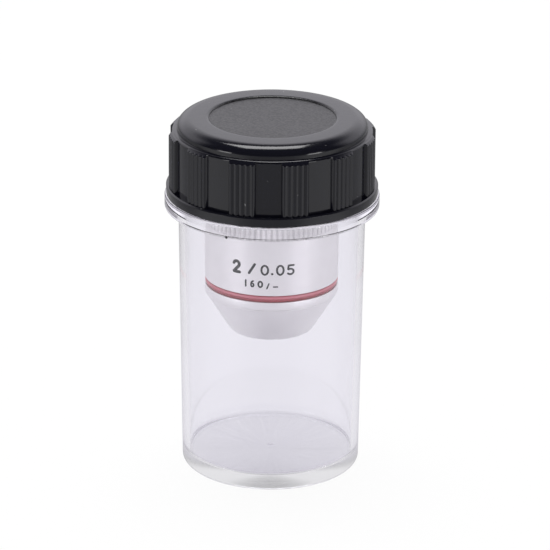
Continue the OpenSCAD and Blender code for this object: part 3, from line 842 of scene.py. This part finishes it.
# Each row: the signs with their left edges and widths, then lowest z, height and stroke width
for name, signs, low_z, height, stroke in (
    ("power_sign", [("2", -7.6, 0.96)], 44.1, 2.3, 0.62),
    ("slash_sign", [("/", -4.43, 1.5)], 44.34, 1.78, 0.5),
    ("aperture_sign", [("0", -1.95, 1.12), ("0", 1.0, 1.12), ("5", 3.0, 1.2)], 44.1, 1.95, 0.39),
    ("point_sign", [(".", 0.14, 1)], 44.24, 1.85, 0.42),
    ("tube_sign", [("1", -5.1, 1), ("6", -3.97, 0.83), ("0", -2.52, 1.09)], 41.5, 1.2, 0.34),
    ("tube_slash_sign", [("/", -0.9, 1)], 41.3, 0.95, 0.28),
    ("dash_sign", [("-", 0.32, 1.98)], 41.13, 1.2, 0.27),
):
    dress(make_signs(name, signs, low_z, height, stroke), paint, "objective")

# On the lower edge of the jar's collar, left of the front
CRUMB_PLACE, CRUMB_SIZE = [-8.65, -19.06, 53.8], 0.24
dress(make_crumb("dark_crumb", CRUMB_PLACE, CRUMB_SIZE), paint, "jar")

for row in frame["record"]["subparts"]:
    for place in frame["nodes"][row["node"]].material_slots:
        place.material = finishes[row["material_slot"]]

# Camera: the photograph's view, 0.8 m away and 21 degrees up, aimed a little beside the axis
VIEW_DISTANCE, VIEW_DEG = 0.8, 21.14
AIM_X, AIM_Z = 0.00069, 0.03883
ROLL_DEG = 0.41
FOCAL_PX, FRAME_PX, SENSOR_MM = 4064.2, 550, 36
camera_data = bpy.data.cameras.new("camera")
camera_data.sensor_width = SENSOR_MM
camera_data.lens = FOCAL_PX / FRAME_PX * SENSOR_MM
camera_data.clip_start, camera_data.clip_end = 0.05, 20
camera = placed(bpy.data.objects.new("camera", camera_data))
view_rise = math.radians(VIEW_DEG)
aim = Vector((AIM_X, 0, AIM_Z))
eye = aim + VIEW_DISTANCE * Vector((0, -math.cos(view_rise), math.sin(view_rise)))
look = (aim - eye).to_track_quat("-Z", "Y").to_matrix().to_4x4()
roll = Matrix.Rotation(math.radians(ROLL_DEG), 4, "Z")
camera.matrix_world = Matrix.Translation(eye) @ look @ roll
bpy.context.scene.camera = camera

# Floor and world, in metres. As much of the floor as FLOOR_SHARE is white where it is looked at,
# with painted light on it in mirrors and a painted shadow under the jar, and the rest takes the
# lamps' light and the object's shadow.
FLOOR_HALF = 4.0
FLOOR_SHARE = 0.93
WHITE = (1, 1, 1)


def ray_kinds(s):
    """Shares that are 1 for the rays that show the background, for those that the object mirrors,
    and for those that come through glass. The background shows straight, mirrored or through
    glass."""
    glossy, through = s.rays("Is Glossy Ray"), s.rays("Is Transmission Ray")
    seen = (s.rays("Is Camera Ray") + glossy).math("ADD", through, clamp=True)
    return seen, glossy * (1 - through), through


def floor_white():
    """White floor that keeps a faint shadow. Mirrored, it carries painted light: brighter to the
    left and right of the front and, behind, brighter close to the jar. Seen through the jar's foot
    it carries a painted shadow, a little darker underneath it."""
    s = new_shader("floor_white")
    seen, mirrored, through = ray_kinds(s)
    y, _, r = s.axes()
    front = y * -1
    ahead = front / (r + 1)
    # painted light: brighter bands to the left and right of the front, seen in mirrors
    side = (1 - ahead.step(0.72, 0.97)) * ahead.step(-0.1, 0.4)
    # painted pool of light behind the jar, brighter close to it
    behind = s.blend(r.step(80, 130), (0.62, 0.61, 0.66), (0.36, 0.36, 0.37))
    # mirrored floor colour: painted darker front, with the painted pool of light behind
    mirrored_painted_light = s.blend(ahead.step(-0.5, 0.3), behind, (0.43, 0.43, 0.43))
    # painted shadow under the jar, seen through its foot, deeper toward the front
    under = through * (1 - r.step(18, 23)) * (front.step(-12, 12) * 0.4 + 0.6)
    # white, darkened by the painted shadow under the jar
    plain = s.blend(under, WHITE, (0.75, 0.745, 0.765))
    colour = s.blend(mirrored, plain, s.blend(side, mirrored_painted_light, (0.85, 0.85, 0.85)))
    diffuse = s.node("ShaderNodeBsdfDiffuse", values={"Color": (0.9, 0.9, 0.9)})
    white = s.node("ShaderNodeEmission", values={"Color": colour, "Strength": 1.0})
    return s.finish(s.mixed(seen * FLOOR_SHARE, diffuse, white))


def studio_world(world):
    """Room light on the object, white where the background is looked at, and in mirrored rays a
    dark room with a bright sweep behind the object."""
    s = Shader(world)
    _, dir_y, dir_z = s.parts(s.node("ShaderNodeTexCoord", out="Generated"))
    seen, mirrored, _ = ray_kinds(s)
    sweep = dir_y.step(-0.1, 0.4) * (1 - dir_z.step(0.5, 0.8))
    lit = s.blend(dir_z.step(-0.05, 0.3), (0.6, 0.59, 0.63), (1.12, 1.1, 1.17))
    surroundings = s.blend(sweep, (0.06, 0.06, 0.065), lit)
    room = s.node("ShaderNodeBackground", values={"Color": WHITE, "Strength": 0.7})
    shown = s.node("ShaderNodeBackground", values={
        "Color": s.blend(mirrored, WHITE, surroundings), "Strength": 1.0})
    return s.finish(s.mixed(seen, room, shown), "ShaderNodeOutputWorld")


floor_mesh = bpy.data.meshes.new("floor")
floor_mesh.from_pydata([
    (-FLOOR_HALF, -FLOOR_HALF, 0), (FLOOR_HALF, -FLOOR_HALF, 0),
    (FLOOR_HALF, FLOOR_HALF, 0), (-FLOOR_HALF, FLOOR_HALF, 0),
], [], [(0, 1, 2, 3)])
floor_mesh.materials.append(floor_white())
floor = placed(bpy.data.objects.new("floor", floor_mesh))

bpy.context.scene.world = studio_world(bpy.data.worlds.new("studio"))


def softbox(name, place, aim_at, size, level):
    """Rectangular area lamp at a place, turned to shine at a point, all in metres. Its level is how
    bright its face is."""
    data = bpy.data.lights.new(name, "AREA")
    data.shape = "RECTANGLE"
    data.size, data.size_y = size
    data.energy = level * math.pi * size[0] * size[1]
    lamp = placed(bpy.data.objects.new(name, data))
    turn = (Vector(aim_at) - Vector(place)).to_track_quat("-Z", "Y").to_matrix().to_4x4()
    lamp.matrix_world = Matrix.Translation(place) @ turn
    lamp.visible_camera = False
    lamp.visible_transmission = False


softbox("top_softbox", (-0.04, 0.24, 1.0), (0, 0, 0.07), (0.6, 0.44), 6.5)
softbox("left_softbox", (-0.88, -0.57, 0.13), (0, 0, 0.04), (0.3, 0.22), 4.6)
softbox("right_softbox", (0.82, -0.66, 0.13), (0, 0, 0.04), (0.3, 0.22), 5.2)

bpy.context.scene.view_settings.view_transform = "Standard"
